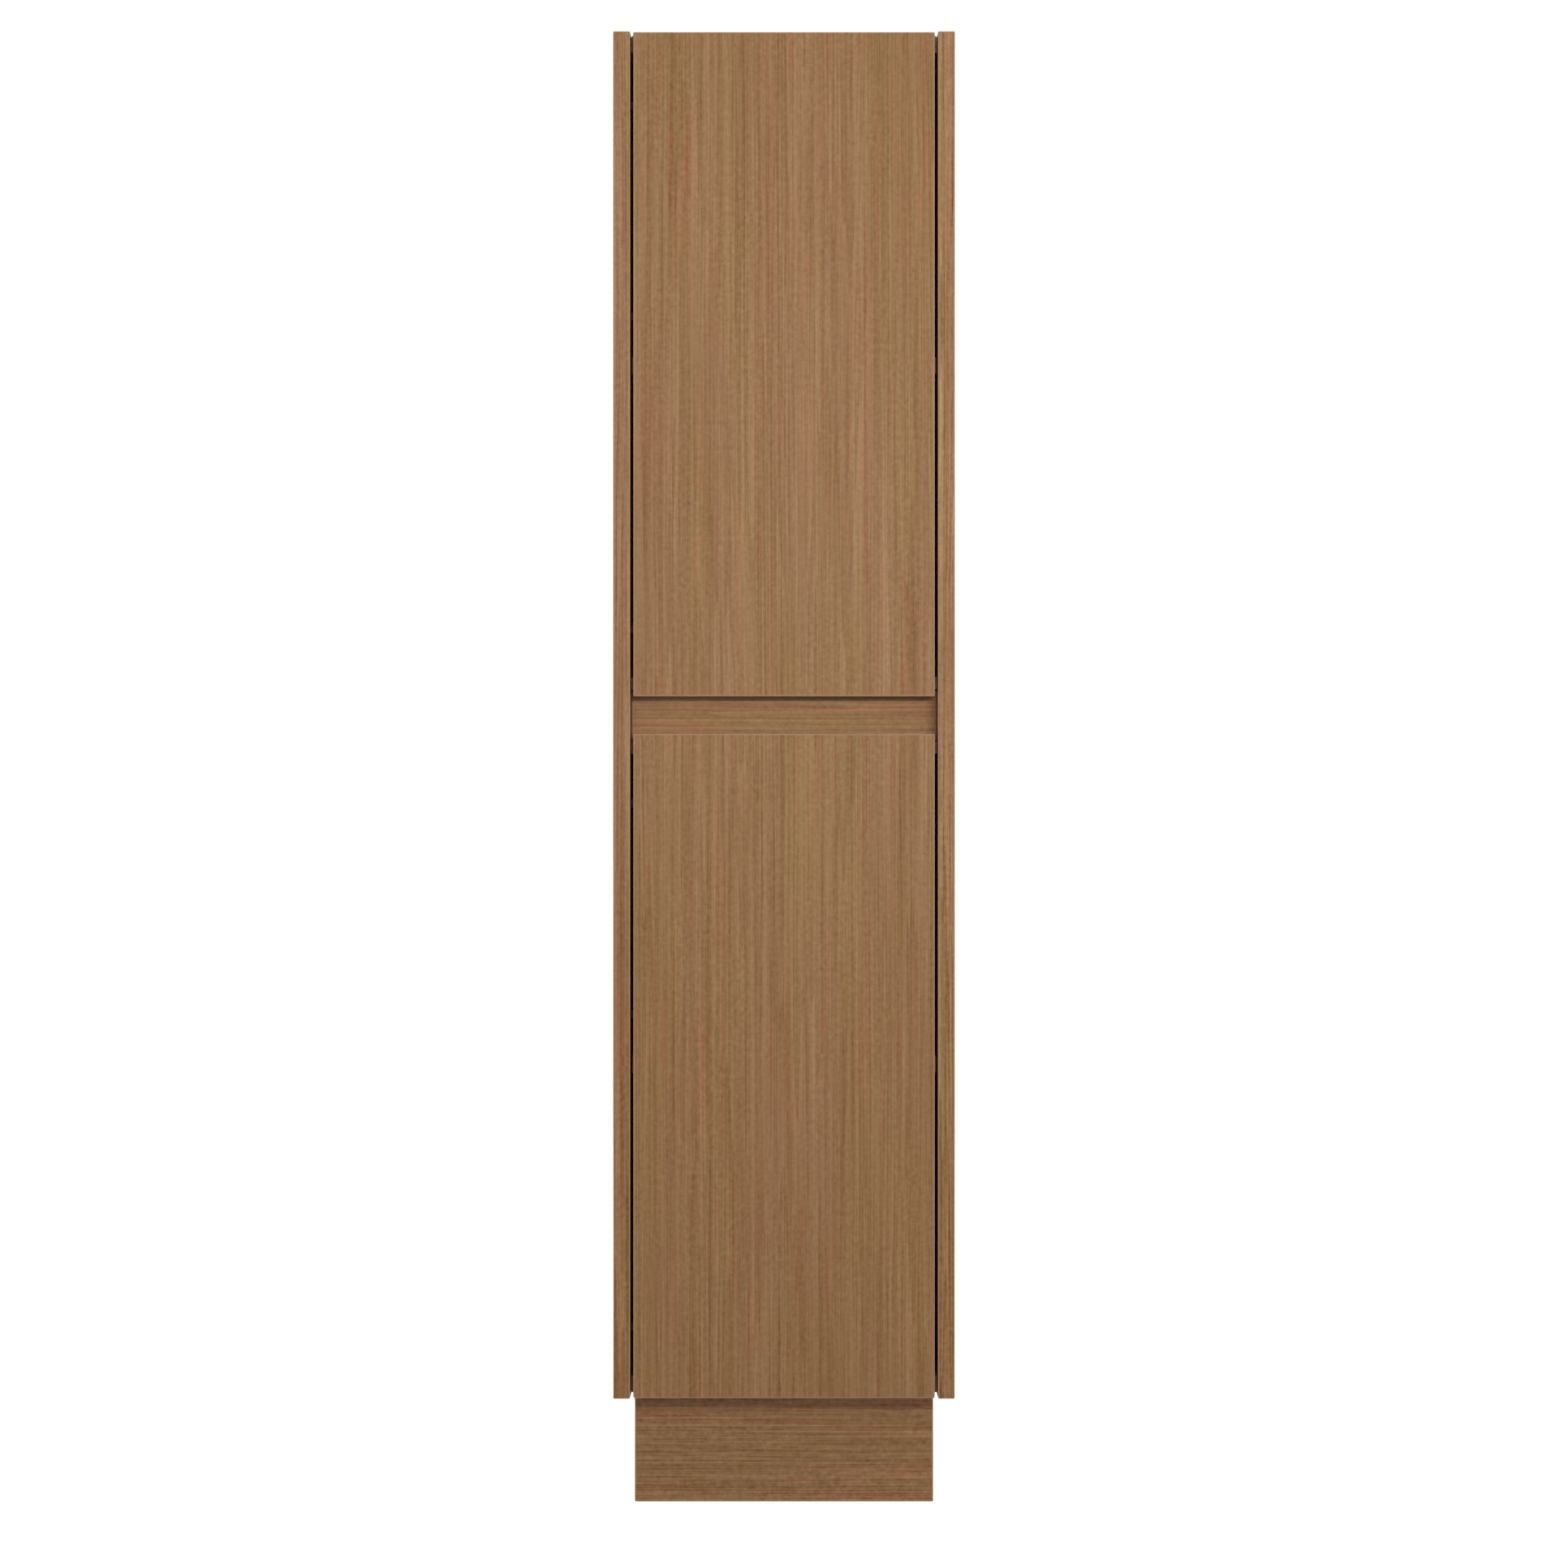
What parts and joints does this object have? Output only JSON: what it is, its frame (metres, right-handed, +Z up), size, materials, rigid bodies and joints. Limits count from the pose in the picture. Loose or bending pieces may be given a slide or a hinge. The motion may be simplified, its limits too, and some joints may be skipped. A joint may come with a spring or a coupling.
{
  "type": "pantry cabinet",
  "caption": "Tall narrow storage cabinet with inset doors one above the other, a finger recess between them and a set-back kick board on levelling feet.",
  "frame": {"origin": "centre of the cabinet's outline on the floor", "axes": "+Z up, the doors face -Y, +X to the right seen from the front"},
  "size_m": [0.5, 0.58, 2.165],
  "materials": {
    "body_wood": "matt wood decor, fine vertical grain",
    "door_wood": "matt wood decor, fine vertical grain",
    "rail_wood": "matt wood decor, fine horizontal grain",
    "inner_wood": "matt wood decor",
    "hinge_steel": "black nickel, satin",
    "pin_steel": "nickel-plated, smooth",
    "black_plastic": "matt",
    "bumper_rubber": "matt"
  },
  "bodies": {
    "cabinet": {"back_panel": "inner_wood", "bottom_panel": "inner_wood", "finger_rail": "rail_wood", "kick_board": "rail_wood", "kick_clip_left": "black_plastic", "kick_clip_right": "black_plastic", "left_side_panel": "body_wood", "leg_socket_back_left": "black_plastic", "leg_socket_back_right": "black_plastic", "leg_socket_front_left": "black_plastic", "leg_socket_front_right": "black_plastic", "lower_fixed_shelf": "inner_wood", "lower_hinge_arm_1": "hinge_steel", "lower_hinge_arm_2": "hinge_steel", "lower_hinge_arm_3": "hinge_steel", "lower_magnet_catch": "black_plastic", "lower_shelf": "inner_wood", "lower_shelf_pin_back_left": "pin_steel", "lower_shelf_pin_back_right": "pin_steel", "lower_shelf_pin_front_left": "pin_steel", "lower_shelf_pin_front_right": "pin_steel", "right_side_panel": "body_wood", "top_panel": "inner_wood", "upper_fixed_shelf": "inner_wood", "upper_hinge_arm_1": "hinge_steel", "upper_hinge_arm_2": "hinge_steel", "upper_hinge_arm_3": "hinge_steel", "upper_magnet_catch": "black_plastic", "upper_shelf": "inner_wood", "upper_shelf_pin_back_left": "pin_steel", "upper_shelf_pin_back_right": "pin_steel", "upper_shelf_pin_front_left": "pin_steel", "upper_shelf_pin_front_right": "pin_steel", "wall_fixing_rail": "inner_wood"},
    "upper_door": {"upper_door": "door_wood", "upper_bumper_bottom": "bumper_rubber", "upper_bumper_top": "bumper_rubber", "upper_hinge_housing_1": "hinge_steel", "upper_hinge_housing_2": "hinge_steel", "upper_hinge_housing_3": "hinge_steel", "upper_hinge_pin_1": "pin_steel", "upper_hinge_pin_2": "pin_steel", "upper_hinge_pin_3": "pin_steel", "upper_strike_plate": "hinge_steel"},
    "lower_door": {"lower_door": "door_wood", "lower_bumper_bottom": "bumper_rubber", "lower_bumper_top": "bumper_rubber", "lower_hinge_housing_1": "hinge_steel", "lower_hinge_housing_2": "hinge_steel", "lower_hinge_housing_3": "hinge_steel", "lower_hinge_pin_1": "pin_steel", "lower_hinge_pin_2": "pin_steel", "lower_hinge_pin_3": "pin_steel", "lower_strike_plate": "hinge_steel"},
    "foot_back_left": {"foot_back_left": "black_plastic"},
    "foot_back_right": {"foot_back_right": "black_plastic"},
    "foot_front_left": {"foot_front_left": "black_plastic"},
    "foot_front_right": {"foot_front_right": "black_plastic"}
  },
  "joints": [
    {"name": "upper_door_hinge", "type": "hinge", "parent": "cabinet", "child": "upper_door", "pos_m": [-0.212, -0.2815, 1.67815], "axis": [0, 0, -1], "range_deg": [0, 95]},
    {"name": "lower_door_hinge", "type": "hinge", "parent": "cabinet", "child": "lower_door", "pos_m": [-0.212, -0.2815, 0.65185], "axis": [0, 0, -1], "range_deg": [0, 95]},
    {"name": "foot_back_left_screw", "type": "slide", "parent": "cabinet", "child": "foot_back_left", "axis": [0, 0, -1], "range_m": [0, 0.02]},
    {"name": "foot_back_right_screw", "type": "slide", "parent": "cabinet", "child": "foot_back_right", "axis": [0, 0, -1], "range_m": [0, 0.02]},
    {"name": "foot_front_left_screw", "type": "slide", "parent": "cabinet", "child": "foot_front_left", "axis": [0, 0, -1], "range_m": [0, 0.02]},
    {"name": "foot_front_right_screw", "type": "slide", "parent": "cabinet", "child": "foot_front_right", "axis": [0, 0, -1], "range_m": [0, 0.02]}
  ]
}
